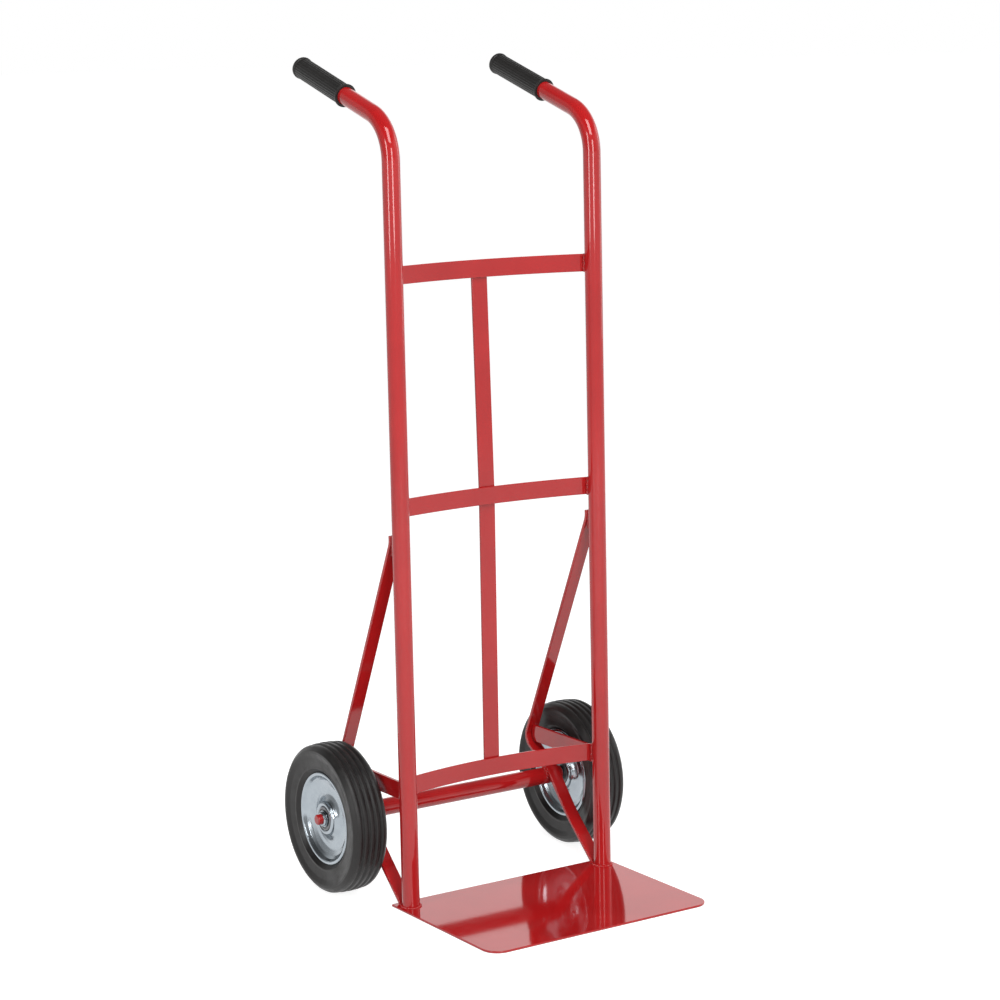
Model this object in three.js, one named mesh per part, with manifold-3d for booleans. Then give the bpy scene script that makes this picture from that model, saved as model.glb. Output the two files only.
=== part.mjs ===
// Two-wheel hand truck (sack truck): a welded steel frame with a flat toe plate, bowed flat crossbars,
// swept-back handles with closed grips, and two solid rubber tyres on pressed rims with ball bearings.
// Millimetres, +Z up. The toe plate points to -Y, handles and wheels to +Y, and the axle lies along X.
import * as THREE from "three";
import { mergeVertices } from "three/addons/utils/BufferGeometryUtils.js";
import Module from "manifold-3d";

const wasm = await Module();
wasm.setup();

// ---------------------------------------------------------------- driving dimensions

const GAP = 0.3; // left between pieces that touch
const SLIM_GAP = 0.15; // left between thin pieces stacked on the axle

// Tubes: places in the frame group are measured from the uprights' axis, at floor level.
const TUBE_RADIUS = 12.5;
const TUBE_WALL = 1.5;
const UPRIGHT_X = 163.5; // from the middle of the truck to each upright's axis
const HANDLE_CORNER_Z = 1084; // where the upright's axis and the handle's axis would cross
const HANDLE_RISE = THREE.MathUtils.degToRad(18); // of the handle above level, going back
const HANDLE_BEND_RADIUS = 67;
const HANDLE_LENGTH = 244; // from that crossing to the tube's end

const PLATE = { width: 364, front: -237.5, rear: 23.5, thickness: 3, frontRadius: 25, rearRadius: 3 };

const CROSSBAR = { height: 25, thickness: 4, endX: 158.5, endY: 12.1 };
const CROSSBARS = [
  { name: "lower_crossbar", z: 170, bow: 20.5 },
  { name: "middle_crossbar", z: 562.5, bow: 17.5 },
  { name: "upper_crossbar", z: 881, bow: 26 },
];
const STRAP = { width: 25, thickness: 4, overlap: 10, clearance: 0.7 }; // it leans a little at each bar

// A brace's bends: the rear one is placed by its corner, and the two below it from the axle's middle.
const BRACE = {
  width: 20,
  thickness: 5,
  topZ: 527,
  shoulder: { z: 516, radius: 25 },
  rear: { y: 186.8, z: 155, radius: 17.5 },
  saddle: { back: -10, up: 12.1 },
  shin: { back: -57.5, up: -43.2, radius: 220 },
  toeIn: 3, // of its foot, towards the upright
};
const STRUT = { thickness: 5, bottom: 152.5, top: 177.5, rear: 176, cornerRadius: 12, chamfer: [3.2, 8] };

const WHEEL = { x: 203.5, radius: 107.7, halfWidth: 27.5, lipRadius: 66, lipOffset: 17.8 };
const AXLE = { y: 137.6, radius: 7.5, end: 234, chamfer: 1.2 };
const AXLE_TUBE = { halfLength: 182, bore: 8.2 };
const HUB = { radius: 17, bore: 12.5, halfLength: 18.2, seatRadius: 14.2, seatDepth: 8 };
const BEARING = { radius: 13.9, bore: 7.8, width: 7, spacerRadius: 10.5 };
const WASHER = { radius: 12, thrustRadius: 11, thickness: 2 };
const PUSH_NUT = { radius: 10.5, wall: 2, crown: 3.5 };
const RIM_SHEET = 2;

const GRIP = { radius: 15, flange: 16.5, flangeWidth: 5, length: 128, endWall: 5 };

// Facets round each turned or bent piece. Wheels stand on a flat, so their height is to the flat.
const WHEEL_SIDES = 36;
const TUBE_SIDES = 20;
const BEND_STEPS = 9;
const AXLE_Z = WHEEL.radius * Math.cos(Math.PI / WHEEL_SIDES);

// ---------------------------------------------------------------- materials

const paint = new THREE.MeshStandardMaterial({ color: 0xb9282c, roughness: 0.28, metalness: 0 });
const rubber = new THREE.MeshStandardMaterial({ color: 0x2b2a2a, roughness: 0.75, metalness: 0 });
const gripPlastic = new THREE.MeshStandardMaterial({ color: 0x343231, roughness: 0.6, metalness: 0 });
const zinc = new THREE.MeshStandardMaterial({ color: 0xaeb8bf, roughness: 0.3, metalness: 1 });
const darkSteel = new THREE.MeshStandardMaterial({ color: 0x55565a, roughness: 0.4, metalness: 1 });

// ---------------------------------------------------------------- outlines

const turn = (v) => new THREE.Vector2(-v.y, v.x); // a quarter turn to the left

// A line through [u, v, radius] corners, with each inner corner rounded to its radius.
function roundedLine(corners, steps = BEND_STEPS) {
  const at = corners.map(([u, v]) => new THREE.Vector2(u, v));
  const points = [at[0]];
  for (let i = 1; i < at.length - 1; i++) {
    const before = at[i - 1].clone().sub(at[i]).normalize();
    const after = at[i + 1].clone().sub(at[i]).normalize();
    const half = before.angleTo(after) / 2;
    const radius = corners[i][2] ?? 0;
    if (radius === 0) {
      points.push(at[i]);
      continue;
    }
    const middle = before.clone().add(after).normalize();
    const centre = at[i].clone().addScaledVector(middle, radius / Math.sin(half));
    const start = at[i].clone().addScaledVector(before, radius / Math.tan(half)).sub(centre);
    const end = at[i].clone().addScaledVector(after, radius / Math.tan(half)).sub(centre);
    const sweep = Math.sign(start.cross(end)) * start.angleTo(end);
    for (let k = 0; k <= steps; k++) {
      points.push(start.clone().rotateAround(new THREE.Vector2(), (sweep * k) / steps).add(centre));
    }
  }
  points.push(at[at.length - 1]);
  return points;
}

// The same line moved to its left by a distance, with mitred corners.
function offsetLine(points, distance) {
  const last = points.length - 1;
  return points.map((p, i) => {
    const a = turn(p.clone().sub(points[Math.max(i - 1, 0)]).normalize());
    const b = turn(points[Math.min(i + 1, last)].clone().sub(p).normalize());
    if (i === 0) a.copy(b);
    if (i === last) b.copy(a);
    return p.clone().addScaledVector(a.add(b), distance / (1 + a.clone().sub(b).dot(b)));
  });
}

// The closed outline of a strip of even thickness along a line.
function stripOutline(points, thickness) {
  return [...offsetLine(points, thickness / 2), ...offsetLine(points, -thickness / 2).reverse()];
}

// A closed outline through [u, v, radius] corners.
function roundedOutline(corners, steps = 6) {
  const first = corners[0];
  const next = corners[1];
  const middle = [(first[0] + next[0]) / 2, (first[1] + next[1]) / 2];
  return roundedLine([middle, ...corners.slice(1), first, middle], steps).slice(1);
}

// ---------------------------------------------------------------- solids

const inYZ = new THREE.Matrix4().makeBasis(
  new THREE.Vector3(0, 1, 0),
  new THREE.Vector3(0, 0, 1),
  new THREE.Vector3(1, 0, 0),
);
const aboutX = new THREE.Matrix4().makeBasis(
  new THREE.Vector3(0, 0, 1),
  new THREE.Vector3(1, 0, 0),
  new THREE.Vector3(0, 1, 0),
);

const upwards = (points, height) =>
  new THREE.ExtrudeGeometry(new THREE.Shape(points), { depth: height, bevelEnabled: false });

// A (y, z) outline given a width along X, centred on x = 0.
const acrossX = (points, width) =>
  upwards(points, width).translate(0, 0, -width / 2).applyMatrix4(inYZ);

// A [radius, height] profile turned round the Y axis. One that doesn't start on the axis is closed first.
function lathed(profile, sides, startAngle = 0) {
  const points = profile.map(([radius, height]) => new THREE.Vector2(radius, height));
  if (THREE.ShapeUtils.isClockWise(points)) points.reverse();
  if (profile[0][0] > 0) points.push(points[0].clone());
  return new THREE.LatheGeometry(points, sides, startAngle);
}

// The same round the X axis, with a flat at the bottom.
const turned = (profile, sides = WHEEL_SIDES) =>
  lathed(profile, sides, Math.PI / sides).applyMatrix4(aboutX);

const ring = (outer, inner, from, to, sides) =>
  turned([[outer, from], [outer, to], [inner, to], [inner, from]], sides);

// A path taken at its own stations, so that a straight stretch is one step.
class StationPath extends THREE.Curve {
  constructor(stations) {
    super();
    this.stations = stations;
  }
  getUtoTmapping(u) {
    return u;
  }
  getPoint(t, target = new THREE.Vector3()) {
    const place = t * (this.stations.length - 1);
    const i = Math.min(Math.floor(place), this.stations.length - 2);
    return target.lerpVectors(this.stations[i], this.stations[i + 1], place - i);
  }
}

function solid(geometry) {
  const bare = new THREE.BufferGeometry();
  bare.setAttribute("position", geometry.getAttribute("position"));
  bare.setIndex(geometry.index);
  const merged = mergeVertices(bare, 1e-3);
  return new wasm.Manifold(
    new wasm.Mesh({
      numProp: 3,
      vertProperties: merged.getAttribute("position").array,
      triVerts: new Uint32Array(merged.index.array),
    }),
  );
}

function cut(geometry, ...tools) {
  const mesh = tools.reduce((left, tool) => left.subtract(solid(tool)), solid(geometry)).getMesh();
  const result = new THREE.BufferGeometry();
  result.setAttribute("position", new THREE.BufferAttribute(mesh.vertProperties, 3));
  result.setIndex(new THREE.BufferAttribute(mesh.triVerts, 1));
  result.computeVertexNormals();
  return result;
}

function piece(name, geometry, material) {
  const mesh = new THREE.Mesh(geometry, material);
  mesh.name = name;
  return mesh;
}

const sides = [
  { side: "left", sign: -1 },
  { side: "right", sign: 1 },
];

// ---------------------------------------------------------------- frame

function toePlate() {
  const { width, front, rear, thickness, frontRadius, rearRadius } = PLATE;
  const outline = roundedOutline([
    [-width / 2, rear, rearRadius],
    [-width / 2, front, frontRadius],
    [width / 2, front, frontRadius],
    [width / 2, rear, rearRadius],
  ]);
  return piece("toe_plate", upwards(outline, thickness), paint);
}

// From the toe plate straight up, then bent back into the handle.
function upright(name) {
  const outline = new THREE.Shape().absarc(0, 0, TUBE_RADIUS, 0, 2 * Math.PI);
  outline.holes.push(new THREE.Path().absarc(0, 0, TUBE_RADIUS - TUBE_WALL, 0, 2 * Math.PI, true));
  const end = [
    HANDLE_LENGTH * Math.cos(HANDLE_RISE),
    HANDLE_CORNER_Z + HANDLE_LENGTH * Math.sin(HANDLE_RISE),
  ];
  const line = roundedLine([
    [0, PLATE.thickness + GAP],
    [0, HANDLE_CORNER_Z, HANDLE_BEND_RADIUS],
    end,
  ]);
  const stations = line.map((p) => new THREE.Vector3(0, p.x, p.y));
  const geometry = new THREE.ExtrudeGeometry(outline, {
    steps: stations.length - 1,
    curveSegments: TUBE_SIDES / 2, // an arc is given twice this
    extrudePath: new StationPath(stations),
  });
  return piece(name, geometry, paint);
}

// A sleeve with a flange at each end and a closed outer end, pushed over the end of the handle.
function grip(name) {
  const { radius, flange, flangeWidth, length, endWall } = GRIP;
  const bore = TUBE_RADIUS + GAP;
  const profile = [
    [0, length - endWall],
    [bore, length - endWall],
    [bore, 0],
    [flange - 1, 0],
    [flange, 1],
    [flange, flangeWidth - 1],
    [radius, flangeWidth + 1],
    [radius, length - flangeWidth - 4],
    [flange, length - flangeWidth - 2],
    [flange, length - 4],
    [flange - 4, length],
    [0, length],
  ];
  return piece(name, lathed(profile, 24), gripPlastic);
}

// The y of a crossbar's front face, a shallow arc from end to end that bows back.
function crossbarY(bow, x) {
  return CROSSBAR.endY + bow * (1 - (x / CROSSBAR.endX) ** 2);
}

function crossbar({ name, z, bow }) {
  const { height, thickness, endX } = CROSSBAR;
  const steps = 12;
  const line = Array.from({ length: steps + 1 }, (_, i) => {
    const x = endX * (1 - (2 * i) / steps);
    return new THREE.Vector2(x, crossbarY(bow, x) + thickness / 2);
  });
  const geometry = upwards(stripOutline(line, thickness), height).translate(0, 0, z - height / 2);
  return piece(name, geometry, paint);
}

// A flat bar up the middle, behind the three crossbars.
function centreStrap() {
  const { width, thickness, overlap, clearance } = STRAP;
  const behind = CROSSBAR.endY + CROSSBAR.thickness + clearance + thickness / 2;
  const [low, middle, high] = CROSSBARS.map(({ z, bow }) => [behind + bow, z]);
  const line = roundedLine([
    [low[0], low[1] - overlap],
    low,
    middle,
    high,
    [high[0], high[1] + overlap],
  ]);
  return piece("centre_strap", acrossX(stripOutline(line, thickness), width), paint);
}

// A flat strap behind each upright: down its back, out to a bend above the axle, over the axle tube
// and down to the heel of the upright.
function brace(name) {
  const { width, thickness, topZ, shoulder, rear, saddle, shin, toeIn } = BRACE;
  const clear = TUBE_RADIUS + GAP; // from the axis of a tube to a face that lies against it
  const back = clear + thickness / 2;
  const foot = PLATE.thickness + GAP;
  const line = roundedLine([
    [back, topZ],
    [back, shoulder.z, shoulder.radius],
    [rear.y, rear.z, rear.radius],
    [AXLE.y + saddle.back, AXLE_Z + saddle.up, back],
    [AXLE.y + shin.back, AXLE_Z + shin.up, shin.radius],
    [back - toeIn, foot + thickness / 4],
  ], 6);
  const uprightSpace = new THREE.CylinderGeometry(clear, clear, 2 * topZ, TUBE_SIDES * 2);
  uprightSpace.rotateX(Math.PI / 2).translate(0, 0, topZ / 2);
  const plateSpace = new THREE.BoxGeometry(PLATE.width, PLATE.width, foot).translate(0, 0, foot / 2);
  const below = new THREE.BoxGeometry(PLATE.width, PLATE.width, foot).translate(0, 0, -foot / 2);
  const geometry = cut(acrossX(stripOutline(line, thickness), width), uprightSpace, plateSpace, below);
  return piece(name, geometry, paint);
}

// A flat bar on edge between the upright and the bend of the brace.
function strut(name) {
  const { thickness, bottom, top, rear, cornerRadius, chamfer } = STRUT;
  const outline = roundedOutline([
    [TUBE_RADIUS + GAP, bottom],
    [rear, bottom, cornerRadius],
    [rear, top - chamfer[1]],
    [rear - chamfer[0], top],
    [TUBE_RADIUS + GAP, top],
  ]);
  return piece(name, acrossX(outline, thickness), paint);
}

const axleTube = () =>
  piece(
    "axle_tube",
    ring(TUBE_RADIUS, AXLE_TUBE.bore, -AXLE_TUBE.halfLength, AXLE_TUBE.halfLength, 24),
    paint,
  );

function axle() {
  const { radius, end, chamfer } = AXLE;
  const profile = [
    [0, -end],
    [radius - chamfer, -end],
    [radius, chamfer - end],
    [radius, end - chamfer],
    [radius - chamfer, end],
    [0, end],
  ];
  return piece("axle", turned(profile, 24), paint);
}

// ---------------------------------------------------------------- wheel
// Profiles are [radius, x], with x measured outwards from the middle of the tyre.

const lip = [
  [WHEEL.lipRadius, WHEEL.lipOffset - 1],
  [WHEEL.lipRadius - 2.4, WHEEL.lipOffset + 0.2],
  [WHEEL.lipRadius - 5, WHEEL.lipOffset - 2],
  [56.5, 11],
];
const DISH = 5.9; // how close each half of the rim comes to the middle

// The middle of the sheet in each half of the rim, from the lip in to the hub.
const outerSheet = [
  ...lip,
  [51.5, 8.6],
  [45, DISH],
  [36, DISH],
  [26, DISH + 2.6],
  [20.5, HUB.halfLength - 1],
  [HUB.radius + GAP, HUB.halfLength - 1],
];
const innerSheet = outerSheet.map(([radius, x]) => [radius, -x]);

const asVectors = (line) => line.map(([radius, x]) => new THREE.Vector2(radius, x));
const asPairs = (line) => line.map((p) => [p.x, p.y]);
const rimHalf = (line) => turned(asPairs(stripOutline(asVectors(line), RIM_SHEET)));

function tyreProfile() {
  const clear = RIM_SHEET / 2 + GAP;
  const bead = (line, toTyre) => asPairs(offsetLine(asVectors(line.slice(0, 5)), toTyre * clear));
  const { radius, halfWidth, lipRadius } = WHEEL;
  const flank = [
    [lipRadius + 1.5, 16],
    [lipRadius + 3, 19],
    [lipRadius + 8, halfWidth - 4],
    [lipRadius + 17, halfWidth],
    [radius - 9, halfWidth - 0.3],
    [radius - 2.8, halfWidth - 3],
    [radius, halfWidth - 9],
  ];
  return [
    ...bead(outerSheet, 1).reverse(),
    ...flank,
    ...flank.map(([r, x]) => [r, -x]).reverse(),
    ...bead(innerSheet, -1),
  ];
}

function hubProfile() {
  const { radius, bore, halfLength, seatRadius, seatDepth } = HUB;
  return [
    [radius, -halfLength],
    [radius, halfLength],
    [seatRadius, halfLength],
    [seatRadius, halfLength - seatDepth],
    [bore, halfLength - seatDepth],
    [bore, seatDepth - halfLength],
    [seatRadius, seatDepth - halfLength],
    [seatRadius, -halfLength],
  ];
}

// Everything that spins, in a group whose +X points outwards from the truck.
function wheel(side) {
  const { radius, bore, width } = BEARING;
  const seat = HUB.halfLength - HUB.seatDepth + SLIM_GAP; // where a bearing starts
  const group = new THREE.Group();
  group.add(
    piece("tyre_" + side, turned(tyreProfile()), rubber),
    piece("rim_outer_" + side, rimHalf(outerSheet), zinc),
    piece("rim_inner_" + side, rimHalf(innerSheet), zinc),
    piece("hub_" + side, turned(hubProfile(), 24), darkSteel),
    piece("bearing_outer_" + side, ring(radius, bore, seat, seat + width, 24), darkSteel),
    piece("bearing_inner_" + side, ring(radius, bore, -seat - width, -seat, 24), darkSteel),
    piece("bearing_spacer_" + side, ring(BEARING.spacerRadius, bore, -seat + GAP, seat - GAP, 24), darkSteel),
  );
  return group;
}

// What stays still on the axle beside each wheel: a thrust washer, a flat washer and a push-on cap.
function axleFittings(side) {
  const outerFace = HUB.halfLength - HUB.seatDepth + SLIM_GAP + BEARING.width;
  const tubeEnd = AXLE_TUBE.halfLength - WHEEL.x;
  const bore = AXLE.radius + GAP;
  const washer = [outerFace + GAP, outerFace + GAP + WASHER.thickness];
  const { radius, wall, crown } = PUSH_NUT;
  const start = washer[1] + SLIM_GAP;
  const nut = [
    [radius, start],
    [radius, start + wall],
    [radius - 1, start + crown],
    [bore, start + crown],
    [bore, start],
  ];
  const group = new THREE.Group();
  group.add(
    piece(
      "thrust_washer_" + side,
      ring(WASHER.thrustRadius, bore, tubeEnd + GAP, -outerFace - GAP, 24),
      zinc,
    ),
    piece("flat_washer_" + side, ring(WASHER.radius, bore, washer[0], washer[1], 24), zinc),
    piece("push_nut_" + side, turned(nut, 24), zinc),
  );
  return group;
}

// ---------------------------------------------------------------- the truck

const truck = new THREE.Group();
truck.name = "hand_truck";
const frame = new THREE.Group();
truck.add(frame);

frame.add(toePlate(), ...CROSSBARS.map(crossbar), centreStrap());

for (const { side, sign } of sides) {
  const post = upright("upright_" + side);
  post.position.x = sign * UPRIGHT_X;

  const handle = new THREE.Group();
  const mouth = HANDLE_LENGTH + GAP + GRIP.endWall - GRIP.length;
  handle.position.set(
    sign * UPRIGHT_X,
    mouth * Math.cos(HANDLE_RISE),
    HANDLE_CORNER_Z + mouth * Math.sin(HANDLE_RISE),
  );
  handle.rotation.x = HANDLE_RISE; // a LatheGeometry's own axis is Y, which points back here
  handle.add(grip("grip_" + side));

  const rear = new THREE.Group();
  rear.position.x = sign * UPRIGHT_X;
  rear.add(brace("brace_" + side), strut("strut_" + side));

  const wheelPlace = new THREE.Group();
  wheelPlace.position.set(sign * WHEEL.x, AXLE.y, AXLE_Z);
  if (sign < 0) wheelPlace.rotation.z = Math.PI; // turned about, so that its +X points outwards too
  wheelPlace.add(wheel(side), axleFittings(side));

  frame.add(post, handle, rear, wheelPlace);
}

const cross = new THREE.Group();
cross.position.set(0, AXLE.y, AXLE_Z);
cross.add(axleTube(), axle());
frame.add(cross);

// The origin is on the floor, under the middle of the truck's box.
const box = new THREE.Box3().setFromObject(frame, true);
frame.position.y = -(box.min.y + box.max.y) / 2;

export default truck;
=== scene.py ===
# %% [markdown]
# # A two-wheel hand truck in glossy red paint
# This lesson dresses a finished frame. The frame comes from a solid model that already has the right sizes
# and joints, so nothing here is measured again: each piece is built around the box of the part it stands for.
# The truck is a welded frame of round tube and flat bar, two moulded grips, and two rubber-tyred wheels.

# %% Load the frame
import bpy
import bmesh
import math
from mathutils import Matrix, Vector


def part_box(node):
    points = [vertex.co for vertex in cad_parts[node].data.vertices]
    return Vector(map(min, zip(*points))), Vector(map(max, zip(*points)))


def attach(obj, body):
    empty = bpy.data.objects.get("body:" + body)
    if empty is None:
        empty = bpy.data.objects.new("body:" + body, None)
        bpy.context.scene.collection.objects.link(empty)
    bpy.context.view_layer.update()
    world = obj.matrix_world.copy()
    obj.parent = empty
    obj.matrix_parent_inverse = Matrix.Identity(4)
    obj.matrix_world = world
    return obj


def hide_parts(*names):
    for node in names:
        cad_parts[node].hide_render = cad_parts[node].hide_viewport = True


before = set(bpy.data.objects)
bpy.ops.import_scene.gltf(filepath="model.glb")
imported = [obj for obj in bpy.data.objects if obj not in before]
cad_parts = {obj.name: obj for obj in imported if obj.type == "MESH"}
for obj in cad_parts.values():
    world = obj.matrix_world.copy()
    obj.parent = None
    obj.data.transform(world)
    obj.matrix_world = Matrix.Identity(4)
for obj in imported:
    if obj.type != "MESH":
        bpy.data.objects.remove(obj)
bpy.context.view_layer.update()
MM = 0.001
SIDES = (("left", -1), ("right", 1))

# %% [markdown]
# ## The camera
# A product shot is taken with a long lens from well back, so that the uprights stay almost parallel. The
# camera circles the truck by an azimuth, looks down by an elevation, and leans over by a small roll. Its
# matrix is built from those three angles, which is easier to adjust than a list of Euler angles.

# %% Place the camera
AZIMUTH = math.radians(-32.917)
ELEVATION = math.radians(9.45)
ROLL = math.radians(-1.206)
DISTANCE = 3.71515
AIM = Vector((-0.00144, -0.0037, 0.56017))
LENS = 95.9
FARTHEST_SEEN = 1000

back = Vector((
    math.sin(AZIMUTH) * math.cos(ELEVATION),
    -math.cos(AZIMUTH) * math.cos(ELEVATION),
    math.sin(ELEVATION),
))
level = Vector((math.cos(AZIMUTH), math.sin(AZIMUTH), 0))
overhead = back.cross(level)
across = level * math.cos(ROLL) + overhead * math.sin(ROLL)
upwards = overhead * math.cos(ROLL) - level * math.sin(ROLL)

camera = bpy.data.objects.new("camera", bpy.data.cameras.new("camera"))
camera.data.lens = LENS
camera.data.clip_end = FARTHEST_SEEN
turn = Matrix((across, upwards, back)).transposed().to_4x4()
camera.matrix_world = Matrix.Translation(AIM + back * DISTANCE) @ turn
bpy.context.scene.collection.objects.link(camera)
bpy.context.scene.camera = camera
print("camera at", [round(v, 3) for v in camera.location])

# %% [markdown]
# ## Shader sums written as Python
# A procedural finish is mostly arithmetic on patterns. Wiring Math nodes by hand is slow to read, so a small
# class wraps the output of a node and lets ordinary Python operators add the Math nodes. Everything else goes
# through one method, which sets a node's own options first and then fills or links its sockets.

# %% A wire and a finish
class Wire:
    """One output of a node. A sum on wires adds Math nodes to the finish."""

    def __init__(self, finish, socket):
        self.finish = finish
        self.socket = socket

    def math(self, operation, *values):
        return self.finish.node("ShaderNodeMath", {"operation": operation}, dict(enumerate(values)))

    def __add__(self, other):
        return self.math("ADD", self, other)

    def __sub__(self, other):
        return self.math("SUBTRACT", self, other)

    def __rsub__(self, other):
        return self.math("SUBTRACT", other, self)

    def __mul__(self, other):
        return self.math("MULTIPLY", self, other)

    def __pow__(self, other):
        return self.math("POWER", self, other)

    __radd__ = __add__
    __rmul__ = __mul__


class Finish:
    """A material whose plain numbers sit on the shader's own sockets and whose patterns are wires."""

    def __init__(self, name, **constants):
        self.material = bpy.data.materials.new(name)
        self.material.use_nodes = True
        self.tree = self.material.node_tree
        self.shader = self.tree.nodes["Principled BSDF"]
        for socket, value in constants.items():
            self.shader.inputs[socket.replace("_", " ")].default_value = value

    def node(self, kind, settings=None, inputs=None, output=0):
        made = self.tree.nodes.new(kind)
        for setting, value in (settings or {}).items():
            if setting == "stops":
                self.set_stops(made.color_ramp, value)
            else:
                setattr(made, setting, value)
        for socket, value in (inputs or {}).items():
            if isinstance(value, Wire):
                self.tree.links.new(value.socket, made.inputs[socket])
            else:
                made.inputs[socket].default_value = value
        return Wire(self, made.outputs[output])

    def set_stops(self, ramp, stops):
        while len(ramp.elements) < len(stops):
            ramp.elements.new(0.5)
        for element, (place, level_there) in zip(ramp.elements, stops):
            element.position = place
            element.color = (level_there, level_there, level_there, 1)

    def place(self, centre=(0, 0, 0), scale=(1, 1, 1)):
        """Object coordinates measured from a centre, then stretched."""
        coordinates = self.node("ShaderNodeTexCoord", output="Object")
        offset = [-c * s for c, s in zip(centre, scale)]
        return self.node(
            "ShaderNodeMapping", None,
            {"Vector": coordinates, "Location": offset, "Scale": scale},
        )

    def noise(self, where, scale, detail=2.0, roughness=0.5):
        return self.node(
            "ShaderNodeTexNoise", None,
            {"Vector": where, "Scale": scale, "Detail": detail, "Roughness": roughness},
        )

    def ramp(self, value, *stops):
        return self.node("ShaderNodeValToRGB", {"stops": stops}, {0: value})

    def mix(self, share, first, second):
        colours = [c if isinstance(c, Wire) else (*c, 1) for c in (first, second)]
        return self.node(
            "ShaderNodeMix", {"data_type": "RGBA"},
            {0: share, 6: colours[0], 7: colours[1]}, output=2,
        )

    def bump(self, height, strength, distance):
        return self.node(
            "ShaderNodeBump", None,
            {"Height": height, "Strength": strength, "Distance": distance},
        )

    def feed(self, **wires):
        for socket, wire in wires.items():
            self.tree.links.new(wire.socket, self.shader.inputs[socket.replace("_", " ")])


def between(wire, low, high):
    """Turns a pattern that runs from 0 to 1 into one that runs from low to high."""
    return wire * (high - low) + low


print("shader helpers ready")

# %% [markdown]
# ## Red paint
# The steel is coated in a thick, glossy red that mirrors the room. Up close it is not a perfect mirror: it
# dries with a very faint orange-peel ripple, pools a little darker here and there, and picks up fine rub
# marks. The reflection is left to the plain dielectric shader with a low roughness. The rub marks only lift
# that roughness a little, and the ripple is a weak bump, so that straight reflections stay straight.

# %% Paint the frame
DEEP_RED = (0.36, 0.0085, 0.0095)
CLEAR_RED = (0.41, 0.0115, 0.0125)

paint = Finish("red_paint", IOR=1.52)
where = paint.place()
pooling = paint.noise(where, scale=9.0, detail=3.0)
ripple = paint.noise(where, scale=260.0, detail=1.0)
rubbing = paint.noise(where, scale=55.0, detail=5.0, roughness=0.7)
pooled = paint.ramp(pooling, (0.35, 0.0), (0.65, 1.0))
paint.feed(
    Base_Color=paint.mix(pooled, DEEP_RED, CLEAR_RED),
    Roughness=between(rubbing, low=0.03, high=0.1),
    Normal=paint.bump(ripple, strength=0.03, distance=0.3 * MM),
)
print("paint:", len(paint.tree.nodes), "nodes")

# %% [markdown]
# ## Rubber
# Solid tyre rubber is nearly black and slightly greasy. Its mould leaves a fine grain, and the tread and the
# outer wall pick up a trace of pale dust. The dust is a broken noise that only lightens the colour a little
# and makes the surface rougher where it lies.

# %% Make the rubber
BARE_RUBBER = (0.009, 0.008, 0.008)
DUSTY_RUBBER = (0.024, 0.022, 0.021)
DUST_SHARE = 0.5

rubber = Finish("tyre_rubber", Specular_IOR_Level=0.35)
where = rubber.place()
grain = rubber.noise(where, scale=900.0, detail=3.0)
dust_clouds = rubber.noise(where, scale=38.0, detail=5.0, roughness=0.7)
dust = rubber.ramp(dust_clouds, (0.42, 0.0), (0.72, 1.0))
rubber.feed(
    Base_Color=rubber.mix(dust * DUST_SHARE, BARE_RUBBER, DUSTY_RUBBER),
    Roughness=between(dust, low=0.36, high=0.58),
    Normal=rubber.bump(grain, strength=0.25, distance=0.3 * MM),
)
print("rubber:", len(rubber.tree.nodes), "nodes")

# %% [markdown]
# ## Zinc plate
# The rims are pressed from sheet and zinc plated: bright, slightly blue, with very fine rings left by the
# spinning tool and a cloudy crystal bloom. The rings need the distance from the axle, so the pattern is
# centred on each wheel by a Mapping node, and the same function makes one finish for each side.

# %% Plate the rims
DARK_ZINC = (0.29, 0.325, 0.36)
BRIGHT_ZINC = (0.40, 0.44, 0.47)
RING_ROUGHNESS = 0.04


def zinc_finish(name, centre):
    zinc = Finish(name, Metallic=1.0)
    where = zinc.place(centre)
    along = zinc.node("ShaderNodeSeparateXYZ", None, {"Vector": where}, "Y")
    height = zinc.node("ShaderNodeSeparateXYZ", None, {"Vector": where}, "Z")
    radius = (along * along + height * height) ** 0.5
    spun = zinc.node(
        "ShaderNodeTexNoise", {"noise_dimensions": "1D"},
        {"W": radius, "Scale": 1400.0, "Detail": 2.0},
    )
    bloom = zinc.noise(where, scale=70.0, detail=4.0, roughness=0.6)
    zinc.feed(
        Base_Color=zinc.mix(bloom, DARK_ZINC, BRIGHT_ZINC),
        Roughness=between(bloom, low=0.12, high=0.24) + spun * RING_ROUGHNESS,
        Normal=zinc.bump(spun, strength=0.06, distance=0.2 * MM),
    )
    return zinc.material


def middle(node):
    low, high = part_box(node)
    return (low + high) / 2


zinc_plate = {side: zinc_finish("zinc_plate_" + side, middle("tyre_" + side)) for side, _ in SIDES}
print("zinc finishes:", sorted(zinc_plate))

# %% [markdown]
# ## Grip plastic and dark steel
# The grips are soft black vinyl with a satin skin. Hubs and bearings are bare steel under a film of oil, so
# they are metal with a darker colour and uneven roughness.

# %% Make the two dark finishes
FRESH_VINYL = (0.009, 0.0085, 0.008)
WORN_VINYL = (0.016, 0.015, 0.0145)
THICK_OIL = (0.10, 0.10, 0.105)
THIN_OIL = (0.24, 0.24, 0.25)

vinyl = Finish("grip_vinyl", Specular_IOR_Level=0.3)
skin_grain = vinyl.noise(vinyl.place(), scale=1100.0, detail=3.0)
handling = vinyl.noise(vinyl.place(), scale=55.0, detail=3.0)
vinyl.feed(
    Base_Color=vinyl.mix(handling, FRESH_VINYL, WORN_VINYL),
    Roughness=between(handling, low=0.34, high=0.46),
    Normal=vinyl.bump(skin_grain, strength=0.1, distance=0.2 * MM),
)

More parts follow.
